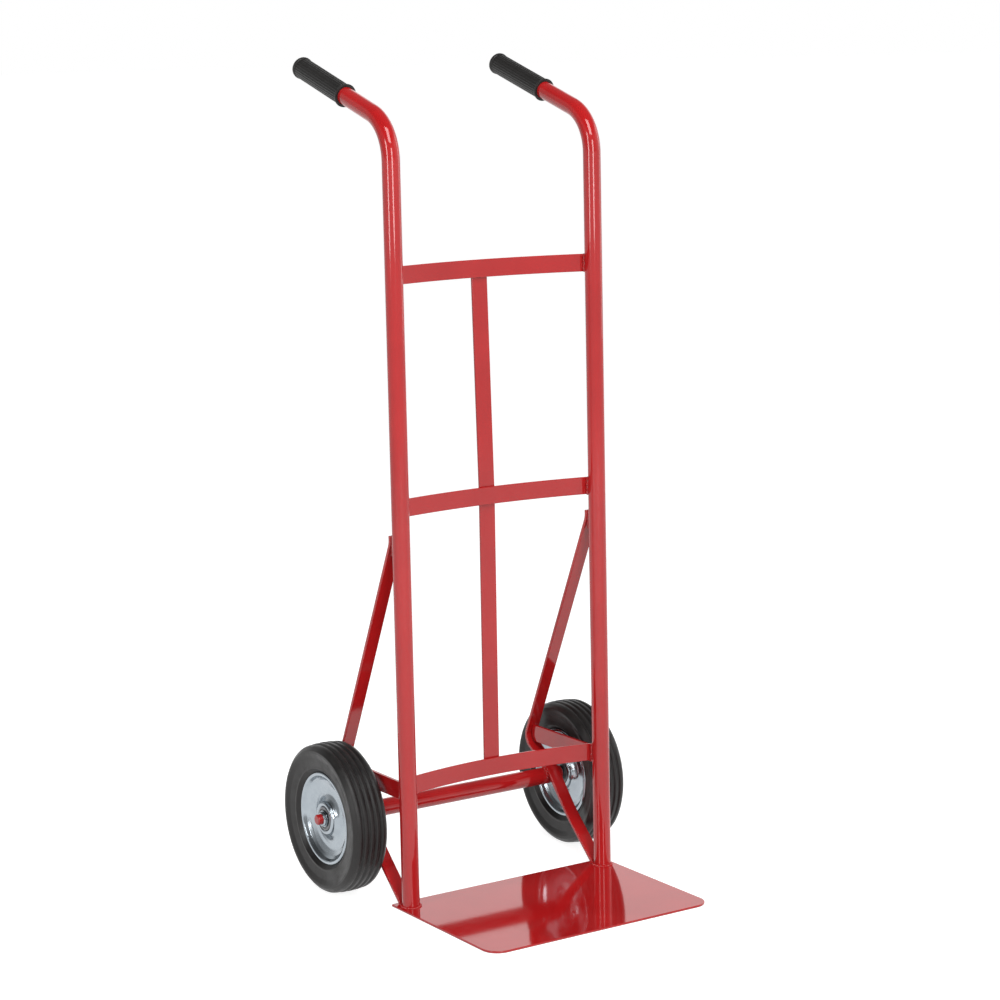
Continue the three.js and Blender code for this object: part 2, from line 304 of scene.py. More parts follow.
oiled = Finish("oiled_steel", Metallic=1.0)
film = oiled.noise(oiled.place(), scale=120.0, detail=4.0, roughness=0.6)
oiled.feed(
    Base_Color=oiled.mix(film, THICK_OIL, THIN_OIL),
    Roughness=between(film, low=0.25, high=0.45),
)
print("dark finishes ready")

# %% [markdown]
# ## Meshes from rings
# Almost every piece here is a stack of rings: a bar is its section repeated along a line, and a turned piece
# is a circle repeated along its axle. One function joins the rings with quads and closes the ends, and the
# rest of the lesson only has to say where the rings are. Normals are recalculated once the shell is closed,
# so that a mirrored wheel can't come out inside out. They are then weighed by face area: a large flat keeps
# its own normal right up to its rounded edge, and its reflections stay as straight as in a real plate.

# %% Join rings into a closed mesh
SHARP_ANGLE = math.radians(38)
SAME_POINT = 1e-7


def keep_result(piece, modifier):
    """Leaves what a modifier makes as the piece's own plain mesh."""
    bpy.context.view_layer.update()
    evaluated = piece.evaluated_get(bpy.context.evaluated_depsgraph_get())
    mesh = bpy.data.meshes.new_from_object(evaluated)
    piece.modifiers.remove(modifier)
    piece.data = mesh
    return piece


def weigh_normals(piece):
    """Shades a piece smooth up to its sharp edges, with large faces deciding over small ones."""
    piece.data.polygons.foreach_set("use_smooth", [True] * len(piece.data.polygons))
    piece.data.set_sharp_from_angle(angle=SHARP_ANGLE)
    modifier = piece.modifiers.new("weigh_normals", "WEIGHTED_NORMAL")
    modifier.keep_sharp = True
    return keep_result(piece, modifier)


def finish_mesh(name, shell, material):
    bmesh.ops.remove_doubles(shell, verts=shell.verts, dist=SAME_POINT)
    bmesh.ops.recalc_face_normals(shell, faces=shell.faces)
    mesh = bpy.data.meshes.new(name)
    shell.to_mesh(mesh)
    shell.free()
    mesh.materials.append(material)
    made = bpy.data.objects.new(name, mesh)
    bpy.context.scene.collection.objects.link(made)
    return weigh_normals(made)


def skin(name, rings, material, closed=False):
    """Joins rings of equally many points. A closed stack ends where it starts, an open one gets two caps."""
    shell = bmesh.new()
    rows = [[shell.verts.new(p) for p in ring] for ring in rings]
    following = rows[1:] + rows[:1] if closed else rows[1:]
    for row, next_row in zip(rows, following):
        for i in range(len(row)):
            j = (i + 1) % len(row)
            shell.faces.new((row[i], row[j], next_row[j], next_row[i]))
    if not closed:
        shell.faces.new(rows[0][::-1])
        shell.faces.new(rows[-1])
    return finish_mesh(name, shell, material)


def stand_for(piece, body, slot, *nodes):
    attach(piece, body)
    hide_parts(*nodes)
    print(piece.name, "has", len(piece.data.polygons), "faces and stands for", ", ".join(nodes))
    return piece


print("ring builder ready")

# %% [markdown]
# ## Lines with rounded corners
# Bent tube and bent strap are straight runs joined by arcs. A line is given by its corners, each with a bend
# radius, and the arcs are worked out: the arc touches both runs, so its centre lies on the line that halves
# the corner. A fine step of four degrees keeps the bends smooth in close views.

# %% Round the corners of a line
ARC_STEP = math.radians(4)


def rounded_line(corners):
    """Points through (u, v, radius) corners. The two ends have no radius."""
    at = [Vector(corner[:2]) for corner in corners]
    points = [at[0]]
    for before, corner, after, (_, _, radius) in zip(at, at[1:], at[2:], corners[1:-1]):
        back_way = (before - corner).normalized()
        on_way = (after - corner).normalized()
        half = back_way.angle(on_way) / 2
        if radius == 0:
            points.append(corner)
            continue
        centre = corner + (back_way + on_way).normalized() * (radius / math.sin(half))
        start = corner + back_way * (radius / math.tan(half)) - centre
        end = corner + on_way * (radius / math.tan(half)) - centre
        sweep = math.pi - 2 * half
        if start.x * end.y - start.y * end.x < 0:
            sweep = -sweep
        steps = max(2, math.ceil(abs(sweep) / ARC_STEP))
        for i in range(steps + 1):
            points.append(centre + Matrix.Rotation(sweep * i / steps, 2) @ start)
    points.append(at[-1])
    return points


def in_side_plane(points, x):
    """Moves (y, z) points into a plane across the truck."""
    return [Vector((x, p.x, p.y)) for p in points]


print("line helper ready")

# %% [markdown]
# ## Tubes by Geometry Nodes
# The uprights are one tube each, bent back into a handle. Their shape follows a rule, a circle carried along
# a line, so a small node tree does it: the line comes in as edges, becomes a curve, and Curve to Mesh sweeps
# the circle along it. Radius and fineness are inputs, and the same tree serves any tube on the truck.

# %% Build the tube tree
def new_tree(name, inputs):
    """A Geometry Nodes tree with a geometry in and out and one named input for each (type, name)."""
    tree = bpy.data.node_groups.new(name, "GeometryNodeTree")
    tree.interface.new_socket("Geometry", in_out="INPUT", socket_type="NodeSocketGeometry")
    tree.interface.new_socket("Geometry", in_out="OUTPUT", socket_type="NodeSocketGeometry")
    for kind, socket in inputs:
        tree.interface.new_socket(socket, in_out="INPUT", socket_type=kind)
    return tree


def tree_node(tree, kind, settings=None, **inputs):
    made = tree.nodes.new(kind)
    for setting, value in (settings or {}).items():
        setattr(made, setting, value)
    for socket, value in inputs.items():
        target = made.inputs[socket.replace("_", " ")]
        if isinstance(value, bpy.types.NodeSocket):
            tree.links.new(value, target)
        else:
            target.default_value = value
    return made


def close_tree(tree, last, material):
    """Makes the last node's geometry real, gives it its finish and sends it out."""
    realized = tree_node(tree, "GeometryNodeRealizeInstances", Geometry=last.outputs[0])
    dressed = tree_node(tree, "GeometryNodeSetMaterial", Geometry=realized.outputs[0], Material=material)
    tree.links.new(dressed.outputs[0], tree.nodes.new("NodeGroupOutput").inputs[0])


def run_tree(piece, tree, **values):
    """Runs a tree on a piece with these inputs and leaves the result as a plain mesh."""
    modifier = piece.modifiers.new(tree.name, "NODES")
    modifier.node_group = tree
    for item in tree.interface.items_tree:
        if item.in_out == "INPUT" and item.name in values:
            modifier[item.identifier] = values[item.name]
    return keep_result(piece, modifier)


tube_tree = new_tree("tube_along_line", [
    ("NodeSocketFloat", "Radius"),
    ("NodeSocketInt", "Fineness"),
    ("NodeSocketMaterial", "Finish"),
])
entry = tube_tree.nodes.new("NodeGroupInput").outputs
curve = tree_node(tube_tree, "GeometryNodeMeshToCurve", Mesh=entry["Geometry"])
circle = tree_node(
    tube_tree, "GeometryNodeCurvePrimitiveCircle",
    Resolution=entry["Fineness"], Radius=entry["Radius"],
)
swept = tree_node(
    tube_tree, "GeometryNodeCurveToMesh",
    Curve=curve.outputs[0], Profile_Curve=circle.outputs[0], Fill_Caps=True,
)
close_tree(tube_tree, swept, entry["Finish"])
print("tube tree:", len(tube_tree.nodes), "nodes")

# %% Bend the two uprights
SEAM_GAP = 1e-6
TUBE_FINENESS = 64


def line_object(name, lines):
    """An object of bare edges, one chain for each line of points."""
    mesh = bpy.data.meshes.new(name)
    points, edges = [], []
    for line in lines:
        edges += [(len(points) + i, len(points) + i + 1) for i in range(len(line) - 1)]
        points += [tuple(p) for p in line]
    mesh.from_pydata(points, edges, [])
    made = bpy.data.objects.new(name, mesh)
    bpy.context.scene.collection.objects.link(made)
    return made


def close_up(piece):
    """Merges a swept mesh's seams and shades it smooth up to its sharp edges."""
    shell = bmesh.new()
    shell.from_mesh(piece.data)
    bmesh.ops.remove_doubles(shell, verts=shell.verts, dist=SEAM_GAP)
    bmesh.ops.recalc_face_normals(shell, faces=shell.faces)
    shell.to_mesh(piece.data)
    shell.free()
    return weigh_normals(piece)


HANDLE_RISE = math.radians(18)
HANDLE_BEND = 67 * MM
low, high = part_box("upright_right")
TUBE_RADIUS = (high.x - low.x) / 2
POST_X = (high.x + low.x) / 2
POST_Y = low.y + TUBE_RADIUS
PLATE_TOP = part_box("toe_plate")[1].z
handle_end = Vector((
    high.y - TUBE_RADIUS * math.sin(HANDLE_RISE),
    high.z - TUBE_RADIUS * math.cos(HANDLE_RISE),
))
handle_way = Vector((math.cos(HANDLE_RISE), math.sin(HANDLE_RISE)))
corner_z = handle_end.y - (handle_end.x - POST_Y) * math.tan(HANDLE_RISE)
post_line = rounded_line([
    (POST_Y, PLATE_TOP),
    (POST_Y, corner_z, HANDLE_BEND),
    tuple(handle_end),
])
for side, sign in SIDES:
    post = line_object("post_" + side, [in_side_plane(post_line, sign * POST_X)])
    run_tree(post, tube_tree, Radius=TUBE_RADIUS, Fineness=TUBE_FINENESS, Finish=paint.material)
    stand_for(close_up(post), "frame", "frame_paint", "upright_" + side)

# %% [markdown]
# ## Flat bar
# Flat bar is never a sharp box: rolling leaves its long edges slightly round, and a cut end is dressed with a
# file. The section is a rectangle with small arcs at its corners, carried along a line, and it shrinks in a
# quarter circle at the very tip of each end.

# %% Sweep a flat bar along a line
CORNER_STEPS = 4


def quarter_turn(steps):
    """Angles from 0 to a right angle."""
    return [math.pi / 2 * i / steps for i in range(steps + 1)]


def bar_section(width, thickness, corner):
    """Points of a rectangle with round corners, as a function of how far it is drawn in."""
    def points(inset):
        radius = corner - inset
        found = []
        for start, side_u, side_v in ((0, 1, 1), (1, -1, 1), (2, -1, -1), (3, 1, -1)):
            for turn in quarter_turn(CORNER_STEPS):
                angle = math.pi / 2 * start + turn
                found.append((
                    side_u * (width / 2 - corner) + radius * math.cos(angle),
                    side_v * (thickness / 2 - corner) + radius * math.sin(angle),
                ))
        return found

    return points


def bar(name, line, side_way, width, thickness, corner=0.9 * MM, dressing=0.7 * MM):
    """A flat bar along a line of points, with its width along side_way."""
    section = bar_section(width, thickness, corner)
    ways = [(b - a).normalized() for a, b in zip(line, line[1:])]
    tangents = [ways[0]] + [(a + b).normalized() for a, b in zip(ways, ways[1:])] + [ways[-1]]
    stations = [(p, t, 0.0) for p, t in zip(line, tangents)]
    first = []
    last = []
    for angle in quarter_turn(CORNER_STEPS):
        inwards = dressing * (1 - math.cos(angle))
        inset = dressing * (1 - math.sin(angle))
        first.append((line[0] + ways[0] * inwards, ways[0], inset))
        last.append((line[-1] - ways[-1] * inwards, ways[-1], inset))
    stations = first + stations[1:-1] + last[::-1]
    rings = []
    for point, tangent, inset in stations:
        normal = tangent.cross(side_way).normalized()
        rings.append([point + side_way * u + normal * v for u, v in section(inset)])
    return skin(name, rings, paint.material)


def evenly(start, end, steps):
    return [start + (end - start) * i / steps for i in range(steps + 1)]


print("bar section has", len(bar_section(1, 1, 0.1)(0)), "points")

# %% [markdown]
# ## Crossbars and centre strap
# The three crossbars bow backwards so that a drum or a sack sits in them. Each one's bow is read from its
# box: its ends are level with the box's front, and the middle of its back touches the box's rear. The centre
# strap runs behind all three and leans a little from bar to bar.

# %% Bend the crossbars
CROSSBARS = ("lower_crossbar", "middle_crossbar", "upper_crossbar")
BAR_THICKNESS = 4 * MM
BOW_STEPS = 60
UP = Vector((0, 0, 1))
strap_line = []
for node in CROSSBARS:
    low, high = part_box(node)
    bow = high.y - low.y - BAR_THICKNESS
    reach = high.x
    line = [
        Vector((x, low.y + BAR_THICKNESS / 2 + bow * (1 - (x / reach) ** 2), (low.z + high.z) / 2))
        for x in evenly(-reach, reach, BOW_STEPS)
    ]
    crossbar = bar(node + "_bar", line, UP, high.z - low.z, BAR_THICKNESS)
    stand_for(crossbar, "frame", "frame_paint", node)
    strap_line.append(Vector((0, high.y, (low.z + high.z) / 2)))

# %% Hang the centre strap behind them
STRAP_CLEARANCE = 0.7 * MM
STRAP_THICKNESS = 4 * MM
ACROSS = Vector((1, 0, 0))
low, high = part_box("centre_strap")
strap_line = [p + Vector((0, STRAP_CLEARANCE + STRAP_THICKNESS / 2, 0)) for p in strap_line]
strap_ends = [strap_line[0].copy(), strap_line[-1].copy()]
strap_ends[0].z = low.z
strap_ends[1].z = high.z
strap = bar("strap", [strap_ends[0], *strap_line, strap_ends[1]], ACROSS, high.x - low.x, STRAP_THICKNESS)
stand_for(strap, "frame", "frame_paint", "centre_strap")

# %% [markdown]
# ## Braces
# Each brace is one strap bent four times. It lies on the back of the upright, runs down and out to a tight
# bend behind the axle, comes back over the axle tube in a snug saddle, and ends at the heel of the upright.
# Its line is given by its bends, measured from the axle and from the upright, and its width runs across the
# truck. The foot is cut level with the toe plate by a bisecting plane.

# %% Bend the braces
BRACE_WIDTH = 20 * MM
BRACE_THICKNESS = 5 * MM
BRACE_CORNER = 1.1 * MM
WELD_GAP = 0.3 * MM
axle_low, axle_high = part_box("axle_tube")
AXLE = (axle_low + axle_high) / 2
brace_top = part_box("brace_right")[1].z
behind_post = TUBE_RADIUS + WELD_GAP + BRACE_THICKNESS / 2
brace_line = rounded_line([
    (POST_Y + behind_post, brace_top),
    (POST_Y + behind_post, brace_top - 11 * MM, 25 * MM),
    (AXLE.y + 49.2 * MM, AXLE.z + 47.7 * MM, 17.5 * MM),
    (AXLE.y - 10 * MM, AXLE.z + 12.1 * MM, behind_post),
    (AXLE.y - 57.5 * MM, AXLE.z - 43.2 * MM, 220 * MM),
    (POST_Y + behind_post - 3.8 * MM, PLATE_TOP - 2 * MM),
])


def trim_below(piece, height):
    shell = bmesh.new()
    shell.from_mesh(piece.data)
    everything = shell.verts[:] + shell.edges[:] + shell.faces[:]
    cut = bmesh.ops.bisect_plane(
        shell, geom=everything, plane_co=(0, 0, height), plane_no=(0, 0, -1), clear_outer=True,
    )
    rim = [e for e in cut["geom_cut"] if isinstance(e, bmesh.types.BMEdge)]
    bmesh.ops.holes_fill(shell, edges=rim)
    shell.to_mesh(piece.data)
    shell.free()
    return weigh_normals(piece)


for side, sign in SIDES:
    line = in_side_plane(brace_line, sign * POST_X)
    brace = bar("brace_strap_" + side, line, ACROSS, BRACE_WIDTH, BRACE_THICKNESS, BRACE_CORNER)
    stand_for(trim_below(brace, PLATE_TOP), "frame", "frame_paint", "brace_" + side)

# %% [markdown]
# ## Plates with dressed edges
# The toe plate and the two struts are flat plates with a shaped outline. The outline is stacked in rings as
# well: the first and last few rings draw in along a quarter circle, which is how a sheared edge looks once
# it is ground and painted.

# %% Stack an outline into a plate
def offset_outline(points, distance):
    """A closed outline moved inwards by a distance. The outline runs anticlockwise."""
    moved = []
    for before, point, after in zip(points[-1:] + points[:-1], points, points[1:] + points[:1]):
        a = (point - before).normalized()
        b = (after - point).normalized()
        normal_a = Vector((-a.y, a.x))
        normal_b = Vector((-b.y, b.x))
        moved.append(point + (normal_a + normal_b) * (distance / (1 + normal_a.dot(normal_b))))
    return moved


def plate(name, outline, thickness, to_space, edge):
    """to_space turns an outline point and a height between 0 and the thickness into a place."""
    quarter = quarter_turn(CORNER_STEPS)
    layers = [(edge * (1 - math.cos(a)), edge * (1 - math.sin(a))) for a in quarter]
    layers += [(thickness - height, inset) for height, inset in reversed(layers)]
    rings = [[to_space(p, height) for p in offset_outline(outline, inset)] for height, inset in layers]
    return skin(name, rings, paint.material)


def closed_outline(corners):
    """A closed outline through (u, v, radius) corners that starts half way along its first side."""
    a, b = Vector(corners[0][:2]), Vector(corners[1][:2])
    half_way = (*((a + b) / 2), 0)
    return rounded_line([half_way, *corners[1:], corners[0], half_way])[1:]


low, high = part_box("toe_plate")
TOE_FRONT_RADIUS = 25 * MM
TOE_REAR_RADIUS = 3 * MM
TOE_EDGE = 1.0 * MM
toe_outline = closed_outline([
    (low.x, high.y, TOE_REAR_RADIUS),
    (low.x, low.y, TOE_FRONT_RADIUS),
    (high.x, low.y, TOE_FRONT_RADIUS),
    (high.x, high.y, TOE_REAR_RADIUS),
])
toe = plate(
    "toe", toe_outline, high.z - low.z,
    lambda p, height: Vector((p.x, p.y, low.z + height)), TOE_EDGE,
)
stand_for(toe, "frame", "frame_paint", "toe_plate")

# %% Cut the two struts
STRUT_CORNER = 12 * MM
STRUT_CHAMFER_DEPTH = 3.2 * MM
STRUT_CHAMFER_HEIGHT = 8 * MM
CHAMFER_BEND = 1 * MM
STRUT_EDGE = 0.8 * MM
for side, sign in SIDES:
    low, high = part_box("strut_" + side)
    strut_outline = closed_outline([
        (low.y, high.z, 0),
        (low.y, low.z, 0),
        (high.y, low.z, STRUT_CORNER),
        (high.y, high.z - STRUT_CHAMFER_HEIGHT, CHAMFER_BEND),
        (high.y - STRUT_CHAMFER_DEPTH, high.z, CHAMFER_BEND),
    ])
    strut = plate(
        "strut_plate_" + side, strut_outline, high.x - low.x,
        lambda p, height: Vector((low.x + height, p.x, p.y)), STRUT_EDGE,
    )
    stand_for(strut, "frame", "frame_paint", "strut_" + side)

# %% [markdown]
# ## Turned pieces
# Axle, hubs, bearings, washers, rims and tyres are all turned shapes. Their profiles are written as
# (radius, x) corners with x measured outwards from the middle of the wheel, so one profile serves both
# sides: the sign of the side says which way x runs.

# %% Turn a profile round the axle
def turned(name, profile, centre, sign, material, fineness=96, closed=True):
    """A closed profile makes a ring. An open one is a solid bar whose two ends are capped."""
    rings = []
    for radius, x in profile:
        angles = (2 * math.pi * i / fineness for i in range(fineness))
        rings.append([
            Vector((centre.x + sign * x, centre.y + radius * math.cos(a), centre.z + radius * math.sin(a)))
            for a in angles
        ])
    return skin(name, rings, material, closed)


def washer_profile(inner, outer, start, end, edge):
    """A flat ring with its four edges broken."""
    return rounded_profile([
        (inner, start, edge), (outer, start, edge), (outer, end, edge), (inner, end, edge),
    ])


def rounded_profile(corners):
    return [tuple(p) for p in closed_outline(corners)]


def half_size(node, axis):
    low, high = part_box(node)
    return (high[axis] - low[axis]) / 2


AXLE_TUBE_HALF = half_size("axle_tube", 0)
TUBE_BORE = 8.2 * MM
TUBE_EDGE = 0.8 * MM
tube_profile = washer_profile(TUBE_BORE, TUBE_RADIUS, -AXLE_TUBE_HALF, AXLE_TUBE_HALF, TUBE_EDGE)
tube = turned("axle_sleeve", tube_profile, AXLE, 1, paint.material)
stand_for(tube, "frame", "frame_paint", "axle_tube")

# %% [markdown]
# ## The axle's ends
# The axle is a plain bar whose ends stand proud of the wheels. They were dipped with the frame, so the paint
# is thick and a little rough on them, and their edge is well rounded.

# %% Turn the axle
AXLE_RADIUS = half_size("axle", 2)
AXLE_HALF = half_size("axle", 0)
AXLE_ROUND = 2.2 * MM
AXLE_ROUND_STEPS = 6
axle_end = [
    (AXLE_RADIUS - AXLE_ROUND * (1 - math.sin(a)), AXLE_HALF - AXLE_ROUND * (1 - math.cos(a)))
    for a in quarter_turn(AXLE_ROUND_STEPS)
]
axle_profile = axle_end + [(radius, -x) for radius, x in reversed(axle_end)]
axle_bar = turned("axle_bar", axle_profile, AXLE, 1, paint.material, fineness=48, closed=False)
stand_for(axle_bar, "frame", "frame_paint", "axle")

# %% [markdown]
# ## Tyres
# A solid rubber tyre has round shoulders and four grooves that run right round its tread. Its profile is
# worked out: the crown is a shallow arc, and each groove is a small notch with sloped sides. The walls carry
# a raised ring near the rim, which catches the light.

# %% Mould the tyres
TYRE_RADIUS = half_size("tyre_right", 2)
TREAD_HALF = 20.5 * MM
GROOVES = (-14.25 * MM, -4.75 * MM, 4.75 * MM, 14.25 * MM)
GROOVE_WIDTH = 6.0 * MM
GROOVE_DEPTH = 2.4 * MM
GROOVE_LIP_BEND = 1.8 * MM
GROOVE_FLOOR_BEND = 1.0 * MM
CROWN_DROP = 1.6 * MM


def crown(x):
    return TYRE_RADIUS - CROWN_DROP * (x / TREAD_HALF) ** 2


def tread():
    """The tread from its inner edge to its outer edge."""
    found = [(crown(-TREAD_HALF), -TREAD_HALF, 0)]
    for x in GROOVES:
        found += [
            (crown(x - GROOVE_WIDTH / 2), x - GROOVE_WIDTH / 2, GROOVE_LIP_BEND),
            (crown(x) - GROOVE_DEPTH, x - GROOVE_WIDTH / 5, GROOVE_FLOOR_BEND),
            (crown(x) - GROOVE_DEPTH, x + GROOVE_WIDTH / 5, GROOVE_FLOOR_BEND),
            (crown(x + GROOVE_WIDTH / 2), x + GROOVE_WIDTH / 2, GROOVE_LIP_BEND),
        ]
    return found + [(crown(TREAD_HALF), TREAD_HALF, 0)]


def wall(sign):
    """One side wall from the tread in to the bead."""
    return [(radius * MM, sign * x * MM, bend * MM) for radius, x, bend in (
        (104.2, 23.2, 3.0),
        (99.0, 27.4, 3.0),
        (95.0, 27.0, 3.0),
        (88.0, 24.4, 10.0),
        (76.0, 22.8, 6.0),
        (72.6, 23.0, 1.6),
        (69.6, 19.4, 1.6),
        (67.3, 17.0, 0.6),
        (60.0, 15.0, 1.0),
        (57.0, 11.0, 1.0),
    )]


tyre_profile = rounded_profile([*tread(), *wall(1), *reversed(wall(-1))])
for side, sign in SIDES:
    centre = middle("tyre_" + side)
    tyre = turned("tyre_rubber_" + side, tyre_profile, centre, sign, rubber.material, fineness=144)
    stand_for(tyre, side + "_wheel", "tyre_rubber", "tyre_" + side)

# %% [markdown]
# ## Rims
# A rim is two pressed discs set back to back. Each has a rolled lip, a concave dish, and a collar raised
# round the hub. Pressing gives every corner a radius, so the middle of the sheet is a rounded line, and half
# the sheet's thickness is put on each side of it.

# %% Press the rims
RIM_SHEET = 2 * MM


def sheet_profile(corners, thickness):
    """The closed profile of a sheet whose middle is a rounded line."""
    line = rounded_line(corners)
    ways = [(b - a).normalized() for a, b in zip(line, line[1:])]
    ways = [ways[0]] + [(a + b).normalized() for a, b in zip(ways, ways[1:])] + [ways[-1]]
    normals = [Vector((-w.y, w.x)) for w in ways]
    one = [p + n * thickness / 2 for p, n in zip(line, normals)]
    other = [p - n * thickness / 2 for p, n in zip(line, normals)]
    return [tuple(p) for p in one + other[::-1]]


def in_mm(corners):
    return [tuple(value * MM for value in corner) for corner in corners]


outer_sheet = in_mm([
    (66.0, 16.6, 0),
    (65.4, 18.4, 1.2),
    (62.6, 18.2, 1.6),
    (59.6, 13.4, 3.0),
    (55.0, 9.6, 8.0),
    (44.0, 5.8, 22.0),
    (31.0, 6.8, 16.0),
    (23.6, 13.0, 6.0),
    (22.2, 17.2, 2.0),
    (19.4, 17.4, 1.2),
    (17.4, 15.6, 0),
])
inner_sheet = [(radius, -x, bend) for radius, x, bend in outer_sheet]
for side, sign in SIDES:
    centre = middle("tyre_" + side)
    for name, sheet in (("outer", outer_sheet), ("inner", inner_sheet)):
        disc_profile = sheet_profile(sheet, RIM_SHEET)
        disc = turned(f"rim_disc_{name}_{side}", disc_profile, centre, sign, zinc_plate[side], fineness=128)
        stand_for(disc, side + "_wheel", "zinc_plate", f"rim_{name}_{side}")

# %% [markdown]
# ## Hubs and bearings
# The hub is a plain steel tube with a bearing pressed into each end. A sealed bearing shows three things at
# its face: the outer ring, the pressed shield, and the inner ring on the axle. All three go into one profile
# with shallow steps between them.

# %% Turn the hubs and bearings
HUB_HALF = half_size("hub_right", 0)
HUB_RADIUS = half_size("hub_right", 2)
HUB_BORE = 12.5 * MM
SEAT_RADIUS = 14.05 * MM
SEAT_DEPTH = 8 * MM
SEAT_BEND = 0.4 * MM
HUB_BEND = 0.7 * MM
RACE_BORE = 7.6 * MM
SHIELD_DEPTH = 0.5 * MM

hub_profile = rounded_profile([
    (SEAT_RADIUS, -HUB_HALF, SEAT_BEND),
    (HUB_RADIUS, -HUB_HALF, HUB_BEND),
    (HUB_RADIUS, HUB_HALF, HUB_BEND),
    (SEAT_RADIUS, HUB_HALF, SEAT_BEND),
    (SEAT_RADIUS, HUB_HALF - SEAT_DEPTH, 0),
    (HUB_BORE, HUB_HALF - SEAT_DEPTH, 0),
    (HUB_BORE, SEAT_DEPTH - HUB_HALF, 0),
    (SEAT_RADIUS, SEAT_DEPTH - HUB_HALF, 0),
])


def bearing_profile(outer, half):
    """The outer ring, a shield that lies a little deeper and the inner ring, alike on both faces."""
    face = [
        (outer, half, 0.5 * MM),
        (12.4 * MM, half, 0.2 * MM),
        (12.2 * MM, half - SHIELD_DEPTH, 0.1 * MM),
        (10.1 * MM, half - SHIELD_DEPTH, 0.1 * MM),
        (9.9 * MM, half, 0.2 * MM),
        (RACE_BORE, half, 0.5 * MM),
    ]
    far_face = [(radius, -x, bend) for radius, x, bend in reversed(face)]
    return rounded_profile([*reversed(far_face), *reversed(face)])


for side, sign in SIDES:
    hub = turned("hub_tube_" + side, hub_profile, middle("tyre_" + side), sign, oiled.material, fineness=72)
    stand_for(hub, side + "_wheel", "bearing_steel", "hub_" + side)
    for place in ("outer", "inner"):
        node = f"bearing_{place}_{side}"
        race_profile = bearing_profile(half_size(node, 2), half_size(node, 0))
        bearing = turned("race_" + node, race_profile, middle(node), 1, oiled.material, fineness=72)
        stand_for(bearing, side + "_wheel", "bearing_steel", node)
    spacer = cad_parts["bearing_spacer_" + side]
    spacer.data.materials.clear()
    spacer.data.materials.append(oiled.material)

# %% [markdown]
# ## What holds a wheel on
# Inside, a thrust washer keeps the hub off the brace. Outside, a flat washer and a domed push nut sit on the
# axle. They don't turn with the wheel, so they ride on the frame.

# %% Fit the washers and push nuts
AXLE_CLEARANCE = 7.7 * MM
WASHER_EDGE = 0.3 * MM
DOME_WIDTH = 1.2 * MM

for side, sign in SIDES:
    for node in ("thrust_washer_" + side, "flat_washer_" + side):
        outer, half = half_size(node, 2), half_size(node, 0)
        profile = washer_profile(AXLE_CLEARANCE, outer, -half, half, WASHER_EDGE)
        ring = turned(node + "_ring", profile, middle(node), sign, zinc_plate[side], fineness=64)
        stand_for(ring, "frame", "zinc_plate", node)
    node = "push_nut_" + side
    outer, half = half_size(node, 2), half_size(node, 0)
    nut_profile = rounded_profile([
        (AXLE_CLEARANCE, -half, 0.2 * MM),
        (outer, -half, 0.3 * MM),
        (outer, 0, 0.4 * MM),
        (outer - DOME_WIDTH, half, 0.8 * MM),
        (AXLE_CLEARANCE, half, 0.4 * MM),
    ])
    nut = turned(node + "_cap", nut_profile, middle(node), sign, zinc_plate[side], fineness=64)
    stand_for(nut, "frame", "zinc_plate", node)

# %% [markdown]
# ## Grips
# Each grip is a moulded sleeve with a flange at its mouth, a closed and rounded outer end, and fine ribs
# along it. The sleeve is turned about the handle, bore and all. The ribs repeat round it, so a node tree puts
# a thin rod on each point of a circle, and the whole ring is then laid along the handle.

# %% Turn the grips
GRIP_LENGTH = 128 * MM
GRIP_RADIUS = 14.4 * MM
GRIP_BORE = 12.7 * MM
GRIP_BORE_DEPTH = 60 * MM
GRIP_WALL_END = 5.3 * MM
GRIP_FINENESS = 96
NEAR_AXIS = 0.05 * MM
grip_end = handle_end + handle_way * GRIP_WALL_END
grip_start = grip_end - handle_way * GRIP_LENGTH
grip_corners = in_mm([
    (12.7, 0, 0.3),
    (16.2, 0, 0.8),
    (16.5, 1.6, 0.8),
    (16.2, 3.2, 0.8),
    (14.4, 4.2, 0.8),
    (14.4, 121.4, 0.8),
    (15.5, 122.4, 0.7),
    (15.7, 124.4, 0.9),
    (15.2, 126.8, 1.6),
    (12.6, 128.0, 4.0),
])
grip_line = [
    Vector((NEAR_AXIS, GRIP_BORE_DEPTH)),
    *rounded_line([(GRIP_BORE, GRIP_BORE_DEPTH), *grip_corners, (NEAR_AXIS, GRIP_LENGTH)]),
]


def handle_frame(sign):
    """Axes of a handle: x across, y along the handle, z out of its top."""
    along = Vector((0, handle_way.x, handle_way.y))
    out = ACROSS.cross(along)
    place = Vector((sign * POST_X, grip_start.x, grip_start.y))
    return Matrix.Translation(place) @ Matrix((ACROSS, along, out)).transposed().to_4x4()


def grip_sleeve(side, sign):
    angles = [2 * math.pi * i / GRIP_FINENESS for i in range(GRIP_FINENESS)]
    rings = [
        [handle_frame(sign) @ Vector((p.x * math.cos(a), p.y, p.x * math.sin(a))) for a in angles]
        for p in grip_line
    ]
    return skin("grip_sleeve_" + side, rings, vinyl.material)


grips = {side: grip_sleeve(side, sign) for side, sign in SIDES}
for side, sleeve in grips.items():
    stand_for(sleeve, "frame", "grip_plastic", "grip_" + side)

